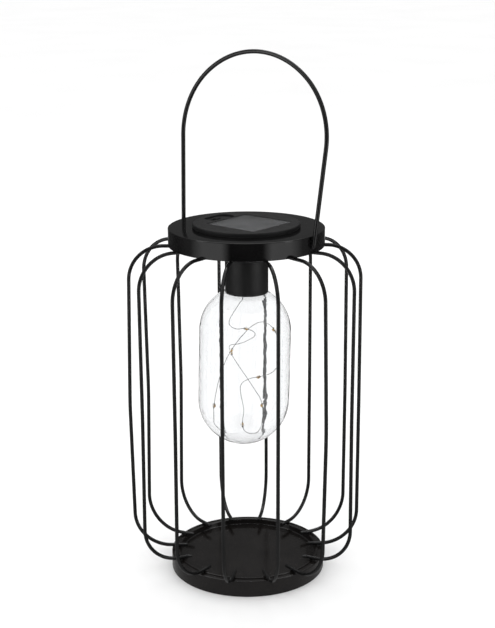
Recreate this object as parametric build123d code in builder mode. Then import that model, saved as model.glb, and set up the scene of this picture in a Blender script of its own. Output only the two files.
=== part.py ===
"""Hanging solar lantern: a round wire cage between a pan-shaped cap and a base tray, with a
swinging bail handle, and a lift-out solar module that carries a clear bulb of fairy lights.

Millimetres, +Z up, origin at the centre of the base, X along the handle's pivot axis.
"""

import os
from math import acos, atan2, cos, degrees, hypot, pi, radians, sin, sqrt, tan

from build123d import *

os.makedirs("parts", exist_ok=True)

# ---------------------------------------------------------------- driving dimensions
sheet = 0.8                # cap and base sheet metal
touch = 0.02               # gap that keeps painted faces from sharing a surface
slip = 0.1                 # gap around pieces that slide or press into each other

# base tray
base_radius = 57.8
base_height = 12.4
hem_width = 3.6            # turned-in bottom edge that the lantern stands on
floor_top = 8.8            # upper face of the pressed floor
floor_radius = 51.3        # inside of the floor's upturned wall
lip_top = 13.2             # crown of the floor's rolled lip
lip_width = 2.3
rim_round = 0.6
lip_round = 0.55

# cap pan
cap_top = 263.1
cap_bottom = 250.3
cap_radius = 56.5
cap_edge = 0.55            # rounding of the pan's top edge
cap_hole = 36.9            # hole that the solar module drops into

# cage
wire_count = 14
wire_radius = 1.35
cage_radius = 83.7         # to the wires' centre lines
upper_end = 47.0           # how far in the wires reach under the cap
lower_end = 46.0           # and over the base
upper_bend = 25.5
lower_bend = 27.0
bow_height = 128.0         # middle of each upright
bow_bend = 420.0
# the wires are bent and welded by hand: degrees off even spacing, and how far the middle of
# each upright bows, and its two bends stand, out from the cage's radius
wire_turn = [-1.5, 1, -1, 0.5, 0.5, 0.5, -0.5, -0.5, -2.5, -4, -0.5, -0.5, 0, -2]
wire_bow = [-0.5, 0.2, 0.5, 0.2, -0.5, 0.2, -2.5, -2, 2, -0.5, -0.5, 0.5, 0.2, 3]
wire_stand = [0, -0.5, 0, -0.5, -1, -0.5, 0, 1.5, 1.5, -1, -0.5, 0, 0.5, 2]
cap_weld = 0.66            # radius of the beads under the cap
weld_length = 2.6
weld_round = 0.65          # rounding of their ends, as a share of the radius
weld_gap = 0.05            # between the cap's welds and its skirt
base_weld_offset = 1.4     # from the floor's lip out to the base welds

# handle
handle_wire = 1.55         # radius
pivot_height = 255.5
handle_foot = 58.3         # leg's centre line where it meets the pivot
handle_bend = 1.75
pin_end = 50.5             # inner end of each bent-in pin
pin_clearance = 0.06
arch_width = 63.15         # half-width at the widest place
arch_height = 131.2        # crown above the pivot, along the handle
side_arc = 57.0
crown_arc = 66.5
handle_lean = 5.9          # degrees back from upright

# solar module
module_turn = -3.0         # degrees, panel against the handle's axis
housing_radius = 38.8
housing_top = 266.3
housing_edge = 1.1
gasket_thickness = 0.5
plate_bottom = 262.6       # underside of the housing's top plate
spigot_radius = 36.5
spigot_wall = 1.8
spigot_bottom = 251.4
panel_side = 43.0
panel_offset = 2.8         # panel's centre from the module's axis
panel_top = 266.0
panel_gap = 0.25
pocket_floor = 264.2
pocket_corner = 0.8
adhesive_thickness = 0.2
adhesive_band = 4.0        # width of the adhesive's square ring
laminate_thickness = 0.8
cell_count = 4
cell_thickness = 0.2
cell_gap = 0.6
cell_margin = 1.5          # from the outer cells to the panel's edge
lead_hole_radius = 1.6     # passes the panel's leads through the top plate
lead_hole_y = -6.0
recess_size = (13.6, 24.0)
recess_centre = (-26.9, 1.5)
recess_floor = 264.7
recess_corner = 5.5
window_size = (3.6, 9.4)
window_centre = (-29.0, -0.6)
knob_size = (3.0, 4.8)
knob_travel = 4.0
knob_top = 265.95
knob_corner = 0.5
knob_stem = 1.2            # how far the knob reaches below the top plate
groove_width = 0.5
groove_depth = 0.35
groove_pitch = 1.5
switch_size = (7.0, 12.5, 4.0)
boss_radius = 3.0
boss_circle = 29.6
boss_angles = (-90, 0, 90)
screw_radius = 1.1
screw_length = 7.5
screw_head = 2.2           # radius
screw_head_height = 1.4
screw_head_round = 0.7
cross_size = (2.4, 0.6)
cross_depth = 0.8
screw_hole_depth = 8.0

# module base, battery and electronics
plate_low, plate_high = 250.0, 251.4
collar_radius = 17.0
collar_bottom = 239.6
collar_round = 0.6
register_width = 1.2       # low ring that centres the base inside the spigot
register_height = 1.8
wire_hole_radius = 3.0
battery_radius = 5.25      # one AAA cell
battery_length = 43.3
battery_start = -22.4      # flat end of the cell
battery_y = 16.0
battery_z = 256.95
battery_round = 0.5
nub_radius = 1.9
nub_length = 1.2
spring_length = 4.1
spring_wire = 0.3
spring_turns = 3
spring_radius = 2.8
contact_side = 7.0
contact_thickness = 0.4
board_size = (38.0, 17.0)
board_place = (0.0, -14.0)
board_bottom = 257.0
board_thickness = 1.2
board_posts = [(-16.0, -14.0), (16.0, -14.0)]
post_radius = 1.5
driver_chip = (5.0, 4.0, 1.5)
driver_place = (-7.0, -15.0)
capacitor_radius = 2.4
capacitor_height = 3.2
capacitor_place = (8.0, -15.0)
small_chip = (3.2, 1.6, 0.7)
small_chip_places = [(-7.0, -19.5), (-12.0, -9.0), (8.0, -20.0)]
lead_radius = 0.45
lead_bend = 2.0
lead_pair = 0.7            # half the spacing of two leads that run side by side

# socket and bulb
sleeve_radius = 15.75
sleeve_wall = 1.5
sleeve_bottom = 214.8
sleeve_round = 0.4
sleeve_hole_radius = 2.5
bulb_radius = 33.7
glass = 0.9
bulb_low = 132.9           # centres of the pill's two round ends
bulb_high = 185.5
shoulder = 214.2           # flat seat of the neck
seat_round = 1.0
neck_radius = 12.4
neck_top = 240.0
holder_radius = 13.45
holder_bottom = 216.6
holder_top = 246.1
holder_hole_radius = 2.0
stopper_bottom = 222.0
stopper_height = 6.0
stopper_hole_radius = 1.0
bulb_lean = 1.3            # degrees off plumb
bulb_pivot = 243.0         # height about which the bulb leans
lean_x, lean_y = 0.8, 0.6  # heading of the leaning axis, a unit vector

# fairy lights
string_radius = 0.28
bead_radius = 1.35
bead_length = 3.6
bead_round = 1.1
bead_first = 54.0          # along the wire, from the stopper to the first light
bead_spacing = 48.0
bead_count = 8
string_route = [
    (-0.3, -0.2, 228), (-0.4, -0.3, 214), (-3, -8, 204), (-6, -16, 194), (1, -16, 190), (7, -11, 191),
    (9, -3, 187), (5, 4, 181), (-3, 5, 176), (-9, 1, 173), (-13, -7, 174), (-4, -11, 166),
    (8, -11, 154), (15, -11, 146), (18, -6, 137), (15, 0, 120), (10, 2, 108), (3, 3, 104),
    (-5, 3, 104), (-10, 6, 109), (-10, 10, 118), (-13, 10, 129), (-14, 9, 138), (-8, 11, 144),
    (3, 13, 147), (14, 16, 152), (20, 15, 165), (16, 18, 177), (10, 18, 186), (7, 12, 191),
    (5, 2, 191), (4, -9, 186), (-1, -21, 173), (-8, -23, 154), (-14, -21, 136),
    (-17, -20, 119), (-15, -18, 111), (-10, -12, 107),
]

WIRE_ANGLES = [(k + 0.5) * 360 / wire_count + turn for k, turn in enumerate(wire_turn)]


def module_level(z):
    """Horizontal plane of the solar module, turned with its panel."""
    return Plane(
        origin=(0, 0, z),
        x_dir=(cos(radians(module_turn)), sin(radians(module_turn)), 0),
        z_dir=(0, 0, 1),
    )


def radial_plane(angle):
    """Upright plane through the Z axis: its x runs outwards at this angle, its y upwards."""
    a = radians(angle)
    return Plane(origin=(0, 0, 0), x_dir=(cos(a), sin(a), 0), z_dir=(sin(a), -cos(a), 0))


def fair_bends(points, share=0.45, largest=30.0):
    """One bend radius for each inner point, as large as its two runs allow."""
    radii = []
    for a, b, c in zip(points, points[1:], points[2:]):
        run_in, run_out = Vector(b) - Vector(a), Vector(c) - Vector(b)
        half_turn = radians(run_in.get_angle(run_out)) / 2
        radii.append(min(share * min(run_in.length, run_out.length) / tan(half_turn), largest))
    return radii


# ---------------------------------------------------------------- cap pan
skirt_inner = cap_radius - sheet
with BuildPart() as top_cap:
    with BuildSketch(Plane.XZ):
        with BuildLine():
            Polyline(
                (cap_hole, cap_top), (cap_radius, cap_top), (cap_radius, cap_bottom),
                (skirt_inner, cap_bottom), (skirt_inner, cap_top - sheet),
                (cap_hole, cap_top - sheet), close=True,
            )
        face = make_face()
        outer_corner = face.vertices().sort_by(Axis.X)[-2:].sort_by(Axis.Y)[-1]
        fillet(outer_corner, cap_edge)
    revolve(axis=Axis.Z)
    pin_bore = handle_wire + pin_clearance
    with BuildSketch(Plane.YZ):
        with Locations((0, pivot_height)):
            Circle(pin_bore)
    extrude(amount=cap_radius + 1, both=True, mode=Mode.SUBTRACT)
top_cap.part.label = "top_cap"

# ---------------------------------------------------------------- base tray
floor_wall = floor_radius + sheet
with BuildPart() as base_ring:
    with BuildSketch(Plane.XZ):
        with BuildLine():
            Polyline(
                (base_radius - hem_width, 0), (base_radius, 0), (base_radius, base_height),
                (floor_wall + touch, base_height), (floor_wall + touch, base_height - sheet),
                (base_radius - sheet, base_height - sheet), (base_radius - sheet, sheet),
                (base_radius - hem_width, sheet), close=True,
            )
        face = make_face()
        rim_corners = face.vertices().sort_by(Axis.X)[-2:]
        fillet(rim_corners, rim_round)
    revolve(axis=Axis.Z)
base_ring.part.label = "base_ring"

with BuildPart() as base_floor:
    with BuildSketch(Plane.XZ):
        with BuildLine():
            Polyline(
                (0, floor_top - sheet), (floor_wall, floor_top - sheet),
                (floor_wall, base_height + touch),
                (floor_radius + lip_width, base_height + touch),
                (floor_radius + lip_width, lip_top), (floor_radius, lip_top),
                (floor_radius, floor_top), (0, floor_top), close=True,
            )
        face = make_face()
        lip_corners = face.vertices().sort_by(Axis.Y)[-2:]
        fillet(lip_corners, lip_round)
    revolve(axis=Axis.Z)
base_floor.part.label = "base_floor"

# ---------------------------------------------------------------- cage wires and their welds
upper_run = cap_bottom - wire_radius - touch
lower_run = lip_top + wire_radius + touch


def bend_cage_wire(angle, bow, stand):
    """One hand-bent wire: in under the cap, down the side and in over the base."""
    outer = cage_radius + stand
    section = radial_plane(angle)
    with BuildPart() as wire:
        with BuildLine(section):
            FilletPolyline(
                (upper_end, upper_run), (outer, upper_run), (outer + bow, bow_height),
                (outer, lower_run), (lower_end, lower_run),
                radius=[upper_bend, bow_bend, lower_bend],
            )
        start = section.from_local_coords((upper_end, upper_run, 0))
        with BuildSketch(Plane(origin=start, z_dir=section.x_dir)):
            Circle(wire_radius)
        sweep()
    return wire


cage_wires = []
for number, bends in enumerate(zip(WIRE_ANGLES, wire_bow, wire_stand), start=1):
    cage_wire = bend_cage_wire(*bends)
    cage_wire.part.label = f"cage_wire_{number:02d}"
    cage_wires.append(cage_wire)


def weld_beads(size, radius, height):
    """A short bead of this radius across each wire, centred this far out and up."""
    with BuildPart() as beads:
        for angle in WIRE_ANGLES:
            a = radians(angle)
            along = (-sin(a), cos(a), 0)
            middle = Vector(radius * cos(a), radius * sin(a), height)
            with BuildSketch(Plane(origin=middle, z_dir=along)):
                Circle(size)
            extrude(amount=weld_length / 2, both=True)
        fillet(beads.edges().filter_by(GeomType.CIRCLE), size * weld_round)
    return beads


cap_welds = weld_beads(cap_weld, skirt_inner - cap_weld - weld_gap, cap_bottom + cap_weld)
cap_welds.part.label = "cap_welds"
base_weld = (lip_top - base_height) / 2
base_welds = weld_beads(
    base_weld, floor_radius + lip_width + base_weld_offset, base_height + base_weld + touch / 2,
)
base_welds.part.label = "base_welds"

# ---------------------------------------------------------------- handle
side_x = arch_width - side_arc
arc_gap = crown_arc - side_arc
side_y = arch_height - crown_arc + sqrt(arc_gap**2 - side_x**2)
reach = hypot(handle_foot - side_x, side_y)
splay = degrees(atan2(side_y, handle_foot - side_x) - acos(side_arc / reach))
crown_half_turn = degrees(atan2(side_x, sqrt(arc_gap**2 - side_x**2)))
side_turn = 90 + splay - crown_half_turn
leg_length = sqrt(reach**2 - side_arc**2)
corner_trim = handle_bend * tan(radians(90 - splay) / 2)

handle_plane = Plane(
    origin=(0, 0, pivot_height),
    x_dir=(1, 0, 0),
    z_dir=(0, -cos(radians(handle_lean)), sin(radians(handle_lean))),
)
with BuildPart() as handle:
    with BuildLine(handle_plane):
        pin = Line((pin_end, 0), (handle_foot - corner_trim, 0))
        foot = JernArc(pin @ 1, (1, 0), handle_bend, 90 - splay)
        leg = PolarLine(foot @ 1, leg_length - corner_trim, direction=foot % 1)
        right = JernArc(leg @ 1, leg % 1, side_arc, side_turn)
        crown = JernArc(right @ 1, right % 1, crown_arc, 2 * crown_half_turn)
        left = JernArc(crown @ 1, crown % 1, side_arc, side_turn)
        far_leg = PolarLine(left @ 1, leg_length - corner_trim, direction=left % 1)
        far_foot = JernArc(far_leg @ 1, far_leg % 1, handle_bend, 90 - splay)
        Line(far_foot @ 1, (-pin_end, 0))
    with BuildSketch(Plane(origin=(pin_end, 0, pivot_height), z_dir=(1, 0, 0))):
        Circle(handle_wire)
    sweep()
handle.part.label = "handle"

# ---------------------------------------------------------------- solar housing
flange_bottom = cap_top + gasket_thickness
pocket_side = panel_side + 2 * panel_gap
boss_points = [
    (boss_circle * cos(radians(a)), boss_circle * sin(radians(a))) for a in boss_angles
]
with BuildPart() as solar_housing:
    with BuildSketch(Plane.XZ):
        with BuildLine():
            Polyline(
                (0, housing_top), (housing_radius, housing_top),
                (housing_radius, flange_bottom), (spigot_radius, flange_bottom),
                (spigot_radius, spigot_bottom), (spigot_radius - spigot_wall, spigot_bottom),
                (spigot_radius - spigot_wall, plate_bottom), (0, plate_bottom), close=True,
            )
        face = make_face()
        rim = face.vertices().sort_by(Axis.X)[-2:].sort_by(Axis.Y)[-1]
        fillet(rim, housing_edge)
    revolve(axis=Axis.Z)
    with BuildSketch(module_level(plate_bottom)):
        with Locations(*boss_points):
            Circle(boss_radius)
    extrude(amount=spigot_bottom - plate_bottom)
    with BuildSketch(module_level(plate_bottom)):
        with Locations(*board_posts):
            Circle(post_radius)
    extrude(amount=board_bottom + board_thickness - plate_bottom)
    with BuildSketch(module_level(spigot_bottom)):
        with Locations(*boss_points):
            Circle(screw_radius)
    extrude(amount=screw_hole_depth, mode=Mode.SUBTRACT)
    with BuildSketch(module_level(housing_top)):
        with Locations((panel_offset, 0)):
            RectangleRounded(pocket_side, pocket_side, pocket_corner)
    extrude(amount=pocket_floor - housing_top, mode=Mode.SUBTRACT)
    with BuildSketch(module_level(housing_top)):
        with Locations(recess_centre):
            RectangleRounded(*recess_size, recess_corner)
    extrude(amount=recess_floor - housing_top, mode=Mode.SUBTRACT)
    with BuildSketch(module_level(housing_top)):
        with Locations(window_centre):
            RectangleRounded(*window_size, pocket_corner)
    extrude(amount=plate_bottom - housing_top - 1, mode=Mode.SUBTRACT)
    with BuildSketch(module_level(pocket_floor)):
        with Locations((panel_offset, lead_hole_y)):
            Circle(lead_hole_radius)
    extrude(amount=plate_bottom - pocket_floor - 1, mode=Mode.SUBTRACT)
solar_housing.part.label = "solar_housing"

with BuildPart() as gasket:
    with BuildSketch(Plane.XY.offset(cap_top)):
        Circle(housing_radius - panel_gap)
        Circle(cap_hole + slip, mode=Mode.SUBTRACT)
    extrude(amount=gasket_thickness)
gasket.part.label = "gasket"

# ---------------------------------------------------------------- solar panel
adhesive_top = pocket_floor + adhesive_thickness
laminate_top = adhesive_top + laminate_thickness
cell_pitch = (panel_side - 2 * cell_margin) / cell_count
cell_size = (cell_pitch - cell_gap, panel_side - 2 * cell_margin - cell_gap)
with BuildPart() as panel_adhesive:
    with BuildSketch(module_level(pocket_floor)):
        with Locations((panel_offset, 0)):
            Rectangle(panel_side, panel_side)
            Rectangle(
                panel_side - 2 * adhesive_band, panel_side - 2 * adhesive_band, mode=Mode.SUBTRACT,
            )
    extrude(amount=adhesive_top - pocket_floor)
panel_adhesive.part.label = "panel_adhesive"

with BuildPart() as panel_board:
    with BuildSketch(module_level(adhesive_top)):
        with Locations((panel_offset, 0)):
            Rectangle(panel_side, panel_side)
    extrude(amount=laminate_top - adhesive_top)
panel_board.part.label = "panel_board"

with BuildPart() as solar_cells:
    with BuildSketch(module_level(laminate_top)):
        with Locations((panel_offset, 0)):
            with GridLocations(cell_pitch, 0, cell_count, 1):
                Rectangle(*cell_size)
    extrude(amount=cell_thickness)
solar_cells.part.label = "solar_cells"

with BuildPart() as panel_cover:
    with BuildSketch(module_level(laminate_top)):
        with Locations((panel_offset, 0)):
            Rectangle(panel_side, panel_side)
    extrude(amount=panel_top - laminate_top)
    with BuildSketch(module_level(laminate_top)):
        with Locations((panel_offset, 0)):
            with GridLocations(cell_pitch, 0, cell_count, 1):
                Rectangle(*cell_size)
    extrude(amount=cell_thickness, mode=Mode.SUBTRACT)
panel_cover.part.label = "panel_cover"

# ---------------------------------------------------------------- switch
stem_bottom = plate_bottom - knob_stem
knob_rest = window_centre[1] + knob_travel / 2
with BuildPart() as switch_knob:
    with BuildSketch(module_level(stem_bottom)):
        with Locations((window_centre[0], knob_rest)):
            RectangleRounded(*knob_size, knob_corner)
    extrude(amount=knob_top - stem_bottom)
    with BuildSketch(module_level(knob_top)):
        with Locations((window_centre[0], knob_rest)):
            with GridLocations(0, groove_pitch, 1, 3):
                Rectangle(knob_size[0] + 1, groove_width)
    extrude(amount=-groove_depth, mode=Mode.SUBTRACT)
switch_knob.part.label = "switch_knob"

with BuildPart() as switch_body:
    with BuildSketch(module_level(stem_bottom - 2 * slip)):
        with Locations(window_centre):
            Rectangle(switch_size[0], switch_size[1])
    extrude(amount=-switch_size[2])
switch_body.part.label = "switch_body"

# ---------------------------------------------------------------- module base
register_radius = spigot_radius - spigot_wall - slip
with BuildPart() as module_base:
    with BuildSketch(Plane.XY.offset(plate_low)):
        Circle(spigot_radius - slip)
    extrude(amount=plate_high - plate_low)
    with BuildSketch(Plane.XY.offset(plate_high)):
        Circle(register_radius)
        Circle(register_radius - register_width, mode=Mode.SUBTRACT)
    extrude(amount=register_height)
    with BuildSketch(Plane.XY.offset(collar_bottom)):
        Circle(collar_radius)
    extrude(amount=plate_low - collar_bottom)
    fillet(module_base.edges().group_by(Axis.Z)[0], collar_round)
    with BuildSketch(Plane.XY.offset(collar_bottom)):
        Circle(sleeve_radius + slip)
    extrude(amount=plate_low - collar_bottom, mode=Mode.SUBTRACT)
    with BuildSketch(Plane.XY.offset(plate_low)):
        Circle(wire_hole_radius)
    extrude(amount=plate_high - plate_low, mode=Mode.SUBTRACT)
    with BuildSketch(module_level(plate_low)):
        with Locations(*boss_points):
            Circle(screw_radius + 2 * slip)
    extrude(amount=plate_high - plate_low, mode=Mode.SUBTRACT)
module_base.part.label = "module_base"

with BuildPart() as housing_screws:
    with BuildSketch(module_level(plate_low)):
        with Locations(*boss_points):
            Circle(screw_head)
    extrude(amount=-screw_head_height)
    fillet(housing_screws.edges().group_by(Axis.Z)[0], screw_head_round)
    with BuildSketch(module_level(plate_low - screw_head_height)):
        with Locations(*boss_points):
            Rectangle(*cross_size)
            Rectangle(*reversed(cross_size))
    extrude(amount=cross_depth, mode=Mode.SUBTRACT)
    with BuildSketch(module_level(plate_low)):
        with Locations(*boss_points):
            Circle(screw_radius - touch)
    extrude(amount=screw_length)
housing_screws.part.label = "housing_screws"

# ---------------------------------------------------------------- battery and contacts
battery_end = battery_start + battery_length


def across_module(x):
    """Upright plane across the battery's axis, at this x of the module."""
    level = module_level(0)
    return Plane(
        origin=level.from_local_coords((x, battery_y, battery_z)),
        x_dir=level.y_dir,
        z_dir=level.x_dir,
    )


with BuildPart() as battery:
    with BuildSketch(across_module(battery_start)):
        Circle(battery_radius)
    extrude(amount=battery_length)
    fillet(battery.edges().filter_by(GeomType.CIRCLE), battery_round)
    with BuildSketch(across_module(battery_end)):
        Circle(nub_radius)
    extrude(amount=nub_length)
battery.part.label = "battery"

with BuildPart() as battery_contacts:
    with BuildSketch(across_module(battery_end + nub_length)):
        Rectangle(contact_side, contact_side)
    extrude(amount=contact_thickness)
    with BuildSketch(across_module(battery_start - spring_length)):
        Rectangle(contact_side, contact_side)
    extrude(amount=-contact_thickness)
battery_contacts.part.label = "battery_contacts"

spring_start = battery_start - spring_length + spring_wire + touch
spring_rise = spring_length - 2 * (spring_wire + touch)
with BuildPart() as battery_spring:
    with BuildLine():
        coil = Helix(
            spring_rise / spring_turns, spring_rise, spring_radius,
            center=across_module(spring_start).origin, direction=across_module(0).z_dir,
        )
    with BuildSketch(Plane(origin=coil @ 0, z_dir=coil % 0)):
        Circle(spring_wire)
    sweep(is_frenet=True)
battery_spring.part.label = "battery_spring"

# ---------------------------------------------------------------- circuit board and leads
board_top = board_bottom + board_thickness
with BuildPart() as circuit_board:
    with BuildSketch(module_level(board_bottom)):
        with Locations(board_place):
            Rectangle(*board_size)
    extrude(amount=board_thickness)
circuit_board.part.label = "circuit_board"

with BuildPart() as board_components:
    with BuildSketch(module_level(board_top)):
        with Locations(driver_place):
            Rectangle(driver_chip[0], driver_chip[1])
    extrude(amount=driver_chip[2])
    with BuildSketch(module_level(board_top)):
        with Locations(capacitor_place):
            Circle(capacitor_radius)
    extrude(amount=capacitor_height)
    with BuildSketch(module_level(board_top)):
        with Locations(*small_chip_places):
            Rectangle(small_chip[0], small_chip[1])
    extrude(amount=small_chip[2])
board_components.part.label = "board_components"


def run_leads(routes):
    """Thin insulated leads, each along its own filleted route in the module's frame."""
    with BuildPart() as leads:
        for route in routes:
            level = module_level(0)
            with BuildLine(level):
                FilletPolyline(*route, radius=fair_bends(route, largest=lead_bend))
            start, after = (level.from_local_coords(p) for p in route[:2])
            with BuildSketch(Plane(origin=start, z_dir=after - start)):
                Circle(lead_radius)
            sweep()
    return leads


laminate_bottom = adhesive_top - touch
panel_leads = run_leads([
    [(x, lead_hole_y, laminate_bottom), (x, lead_hole_y, 261.4), (x, -9, 259.6), (x, -9, board_top)]
    for x in (panel_offset - lead_pair, panel_offset + lead_pair)
])
panel_leads.part.label = "panel_leads"

battery_leads = run_leads([
    [(22.3, 12.2, 257), (22.3, 6, 260), (17, -8, 260), (17, -8, board_top)],
    [(-26.7, 12.1, 257), (-22, 7, 260), (-17, -8, 260), (-17, -8, board_top)],
])
battery_leads.part.label = "battery_leads"

# ---------------------------------------------------------------- socket sleeve
with BuildPart() as socket_sleeve:
    with BuildSketch(Plane.XY.offset(sleeve_bottom)):
        Circle(sleeve_radius)
    extrude(amount=plate_low - sleeve_bottom)
    with BuildSketch(Plane.XY.offset(sleeve_bottom)):
        Circle(sleeve_radius - sleeve_wall)
    extrude(amount=plate_low - sleeve_wall - sleeve_bottom, mode=Mode.SUBTRACT)
    with BuildSketch(Plane.XY.offset(plate_low)):
        Circle(sleeve_hole_radius)
    extrude(amount=-2 * sleeve_wall, mode=Mode.SUBTRACT)
    fillet(socket_sleeve.edges().group_by(Axis.Z)[0], sleeve_round)
socket_sleeve.part.label = "socket_sleeve"

# ---------------------------------------------------------------- bulb
tilt = radians(bulb_lean)
bulb_up = Vector(lean_x * sin(tilt), lean_y * sin(tilt), cos(tilt))
bulb_origin = Vector(0, 0, bulb_pivot)
bulb_axis = Axis(bulb_origin, bulb_up)
bulb_section = Plane(
    origin=bulb_origin,
    x_dir=(lean_x * cos(tilt), lean_y * cos(tilt), -sin(tilt)),
    z_dir=(lean_y, -lean_x, 0),
)


def bulb_level(z):
    """Plane square to the leaning bulb's axis, at this height of the plumb lantern."""
    return Plane(origin=bulb_origin + bulb_up * (z - bulb_pivot), z_dir=bulb_up)


def pill_profile(inset, top):
    """Half outline of the bulb, this far inside its outer surface, closed along the axis."""
    radius, neck = bulb_radius - inset, neck_radius - inset
    seat = shoulder - inset - bulb_pivot
    low, high = bulb_low - bulb_pivot, bulb_high - bulb_pivot
    seat_angle = degrees(atan2(seat - high, sqrt(radius**2 - (seat - high) ** 2)))
    with BuildSketch(bulb_section, mode=Mode.PRIVATE) as profile:
        with BuildLine():
            CenterArc((0, low), radius, -90, 90)
            Line((radius, low), (radius, high))
            arc = CenterArc((0, high), radius, 0, seat_angle)
            Polyline(
                arc @ 1, (neck, seat), (neck, top - bulb_pivot), (0, top - bulb_pivot),
                (0, low - radius),
            )
        outline = make_face()
        seat_corners = outline.vertices().sort_by(lambda v: abs(v.Y - seat))[:2]
        fillet(seat_corners, seat_round)
    return profile.sketch


with BuildPart() as bulb_glass:
    revolve(pill_profile(0, neck_top), axis=bulb_axis)
    revolve(pill_profile(glass, neck_top + 1), axis=bulb_axis, mode=Mode.SUBTRACT)
bulb_glass.part.label = "bulb_glass"

with BuildPart() as bulb_holder:
    with BuildSketch(bulb_level(holder_bottom)):
        Circle(holder_radius)
    extrude(amount=holder_top - holder_bottom)
    with BuildSketch(bulb_level(holder_bottom)):
        Circle(neck_radius + slip / 2)
    extrude(amount=neck_top - holder_bottom + touch, mode=Mode.SUBTRACT)
    with BuildSketch(bulb_level(neck_top)):
        Circle(holder_hole_radius)
    extrude(amount=holder_top - neck_top, mode=Mode.SUBTRACT)
bulb_holder.part.label = "bulb_holder"

with BuildPart() as string_stopper:
    with BuildSketch(bulb_level(stopper_bottom)):
        Circle(neck_radius - glass - slip / 2)
        Circle(stopper_hole_radius, mode=Mode.SUBTRACT)
    extrude(amount=stopper_height)
string_stopper.part.label = "string_stopper"

led_leads = run_leads([
    [(x, 0, 228.4), (x, 0, 252.8), (x - 4, -8, 254.4), (x - 4, -8, board_bottom)]
    for x in (-lead_pair, lead_pair)
])
led_leads.part.label = "led_leads"

# ---------------------------------------------------------------- fairy lights
with BuildPart() as string_wire:
    with BuildLine():
        string_path = FilletPolyline(*string_route, radius=fair_bends(string_route))
    first, second = (Vector(p) for p in string_route[:2])
    with BuildSketch(Plane(origin=first, z_dir=second - first)):
        Circle(string_radius)
    sweep()
string_wire.part.label = "string_wire"

bead_planes = [
    Plane(string_path.location_at(bead_first + k * bead_spacing, position_mode=PositionMode.LENGTH))
    for k in range(bead_count)
]
with BuildPart() as led_beads:
    for bead_plane in bead_planes:
        with BuildSketch(bead_plane):
            Circle(bead_radius)
        extrude(amount=bead_length / 2, both=True)
    fillet(led_beads.edges().filter_by(GeomType.CIRCLE), bead_round)
led_beads.part.label = "led_beads"

# ---------------------------------------------------------------- export
pieces = [
    top_cap, base_ring, base_floor, *cage_wires, cap_welds, base_welds, handle,
    solar_housing, gasket, panel_adhesive, panel_board, solar_cells, panel_cover,
    switch_knob, switch_body, module_base, housing_screws, battery, battery_contacts,
    battery_spring, circuit_board, board_components, panel_leads, battery_leads, led_leads,
    socket_sleeve, bulb_holder, bulb_glass, string_stopper, string_wire, led_beads,
]
for piece in pieces:
    export_step(piece.part, f"parts/{piece.part.label}.step")

string_length = string_path.length
section_volume = string_length * pi * string_radius**2
print("string length", round(string_length, 1))
print("string bend radii", [round(radius, 1) for radius in fair_bends(string_route)])
print("string volume against its section", round(string_wire.part.volume / section_volume, 3))
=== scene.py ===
"""Looks of the hanging solar lantern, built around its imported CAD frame. Metres, +Z up.

X runs along the handle's pivot axis. Every visible piece is a mesh or a curve made here, with a
procedural material; the CAD node that it stands for stays hidden as its collision shape.
"""

import random
from math import acos, atan2, ceil, cos, degrees, hypot, pi, radians, sin, sqrt, tan

import bmesh
import bpy
from mathutils import Matrix, Vector, noise


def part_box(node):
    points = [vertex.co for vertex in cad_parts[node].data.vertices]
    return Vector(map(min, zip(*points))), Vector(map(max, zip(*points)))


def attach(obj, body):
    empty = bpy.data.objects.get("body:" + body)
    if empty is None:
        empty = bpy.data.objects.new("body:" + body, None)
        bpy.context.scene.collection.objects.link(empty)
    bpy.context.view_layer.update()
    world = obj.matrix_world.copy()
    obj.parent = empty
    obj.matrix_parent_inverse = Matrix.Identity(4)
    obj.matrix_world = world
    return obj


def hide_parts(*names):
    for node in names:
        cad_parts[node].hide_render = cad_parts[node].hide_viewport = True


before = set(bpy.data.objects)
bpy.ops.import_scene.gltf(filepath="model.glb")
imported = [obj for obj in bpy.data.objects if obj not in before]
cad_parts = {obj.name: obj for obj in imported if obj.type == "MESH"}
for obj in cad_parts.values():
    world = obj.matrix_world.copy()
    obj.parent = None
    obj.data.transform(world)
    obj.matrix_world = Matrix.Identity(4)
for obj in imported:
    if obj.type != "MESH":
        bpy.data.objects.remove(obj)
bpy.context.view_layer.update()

MM = 0.001
AROUND = 168                    # segments round the large turned pieces
UP = Vector((0, 0, 1))


# ---------------------------------------------------------------- sizes, as in the CAD model
SHEET = 0.8
BASE_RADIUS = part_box("base_ring")[1].x / MM
RIM_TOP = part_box("base_ring")[1].z / MM
LIP_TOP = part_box("base_floor")[1].z / MM
FLOOR_TOP = 8.8
FLOOR_RADIUS = 51.3
LIP_WIDTH = 2.3
HEM_WIDTH = 3.6
CAP_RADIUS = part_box("top_cap")[1].x / MM
CAP_LOW, CAP_TOP = (corner.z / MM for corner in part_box("top_cap"))
CAP_HOLE = 36.9
WIRE_COUNT = 14
WIRE_RADIUS = 1.35
CAGE_RADIUS = 83.7
UPPER_END, LOWER_END = 47.0, 46.0
UPPER_BEND, LOWER_BEND, BOW_BEND = 25.5, 27.0, 420.0
BOW_HEIGHT = 128.0
TOUCH = 0.02                    # air between parts that are welded or rest on each other
UPPER_RUN = CAP_LOW - WIRE_RADIUS - TOUCH
LOWER_RUN = LIP_TOP + WIRE_RADIUS + TOUCH
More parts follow.
